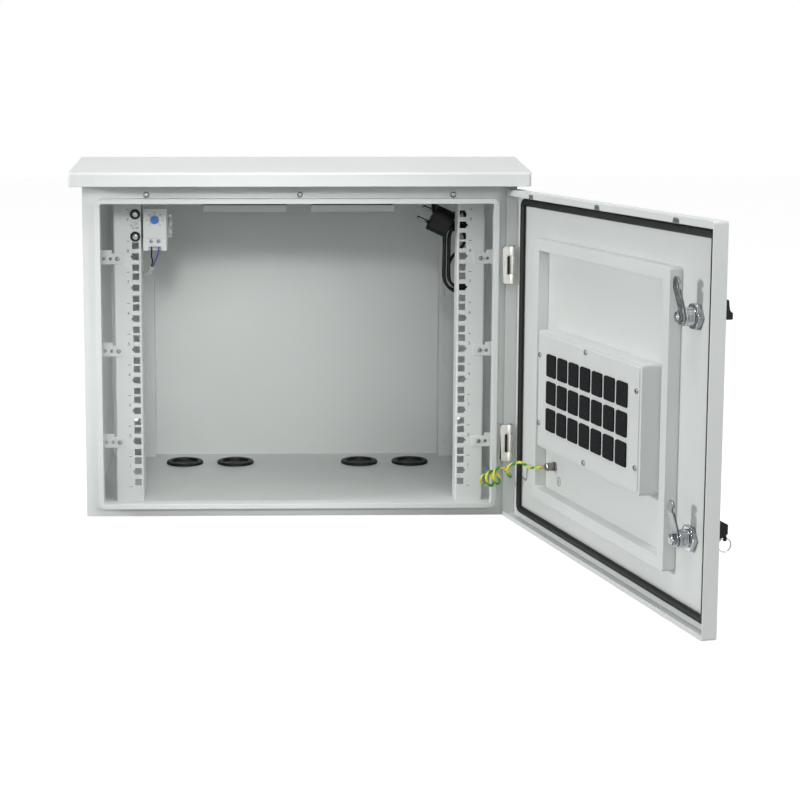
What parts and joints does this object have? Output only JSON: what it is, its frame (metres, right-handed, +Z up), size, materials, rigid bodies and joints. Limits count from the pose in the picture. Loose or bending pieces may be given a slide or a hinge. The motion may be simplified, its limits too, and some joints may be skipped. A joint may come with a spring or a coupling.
{
  "type": "roadside utility cabinet",
  "caption": "Wall or plinth cabinet of folded sheet steel with a rain canopy, a hinged lockable door with an air filter, perforated rack rails, ceiling fans and floor cable entries",
  "frame": {"origin": "the middle of the base, on the surface the cabinet stands on", "axes": "Z up, Y from the door towards the back wall, X to the right seen from the front"},
  "size_m": [0.7881, 0.9933, 0.499],
  "materials": {
    "powder_coat": "light grey fine-textured powder coat",
    "zinc_steel": "zinc-plated, satin",
    "chrome_plate": "polished",
    "dark_steel": "dark plated, satin",
    "black_plastic": "matte",
    "switch_plastic": "light grey, matte",
    "dial_plastic": "blue, satin",
    "black_rubber": "matte",
    "cable_sheath": "black flexible sheath, satin",
    "lead_sleeve": "white braided sleeve",
    "earth_insulation": "yellow and green insulation",
    "filter_foam": "open-cell foam"
  },
  "bodies": {
    "cabinet": {"body_wrap": "powder_coat", "floor_plate": "powder_coat", "ceiling_plate": "powder_coat", "front_frame": "powder_coat", "frame_screws": "zinc_steel", "roof_canopy": "powder_coat", "roof_braces": "powder_coat", "rail_left": "powder_coat", "rail_right": "powder_coat", "rail_brackets": "powder_coat", "bracket_screws": "zinc_steel", "rear_posts": "powder_coat", "switch_bracket": "zinc_steel", "switch_body": "switch_plastic", "switch_lead": "lead_sleeve", "cage_screws": "zinc_steel", "cage_washers": "black_plastic", "fan_trays": "powder_coat", "fan_frames": "black_plastic", "plug_body": "black_plastic", "plug_pins": "chrome_plate", "plug_lead": "cable_sheath", "lead_hank": "cable_sheath", "fan_lead": "cable_sheath", "grommets": "black_rubber", "hinge_leaves": "zinc_steel", "hinge_pins": "zinc_steel", "earth_stud_frame": "zinc_steel", "earth_lug_frame": "earth_insulation", "earth_wire": "earth_insulation"},
    "door": {"door_panel": "powder_coat", "door_gasket": "black_rubber", "door_stiffener": "powder_coat", "filter_box": "powder_coat", "filter_cover": "powder_coat", "filter_mat": "filter_foam", "filter_screws": "zinc_steel", "hinge_knuckles": "powder_coat", "lock_housings": "chrome_plate", "lock_nuts": "chrome_plate", "earth_stud_door": "zinc_steel", "earth_lug_door": "earth_insulation"},
    "lock_top": {"lock_plug_top": "chrome_plate", "lock_cam_top": "dark_steel", "key_top": "black_plastic"},
    "lock_bottom": {"lock_plug_bottom": "chrome_plate", "lock_cam_bottom": "dark_steel", "key_bottom": "black_plastic"},
    "ring": {"key_ring": "chrome_plate"},
    "dial": {"switch_dial": "dial_plastic"},
    "fan_left": {"rotor_left": "black_plastic"},
    "fan_right": {"rotor_right": "black_plastic"}
  },
  "joints": [
    {"name": "door_hinge", "type": "hinge", "parent": "cabinet", "child": "door", "pos_m": [0.2935, -0.2135, 0.231], "axis": [0, 0, 1], "range_deg": [-104, 6], "deforming": ["earth_wire"]},
    {"name": "lock_turn_top", "type": "hinge", "parent": "door", "child": "lock_top", "pos_m": [0.43166, -0.72631, 0.35052], "axis": [0.9703, 0.2419, 0], "range_deg": [0, 90]},
    {"name": "lock_turn_bottom", "type": "hinge", "parent": "door", "child": "lock_bottom", "pos_m": [0.43166, -0.72631, 0.10053], "axis": [0.9703, 0.2419, 0], "range_deg": [0, 90]},
    {"name": "ring_swing", "type": "hinge", "parent": "lock_bottom", "child": "ring", "pos_m": [0.46562, -0.71784, 0.09753], "axis": [0.9703, 0.2419, 0], "range_deg": [-25, 25]},
    {"name": "dial_turn", "type": "hinge", "parent": "cabinet", "child": "dial", "pos_m": [-0.2053, -0.1305, 0.4122], "axis": [0, -1, 0], "range_deg": [-135, 135]},
    {"name": "fan_spin_left", "type": "hinge", "parent": "cabinet", "child": "fan_left", "pos_m": [-0.079, 0, 0.445], "axis": [0, 0, 1], "continuous": true},
    {"name": "fan_spin_right", "type": "hinge", "parent": "cabinet", "child": "fan_right", "pos_m": [0.079, 0, 0.445], "axis": [0, 0, 1], "continuous": true}
  ]
}
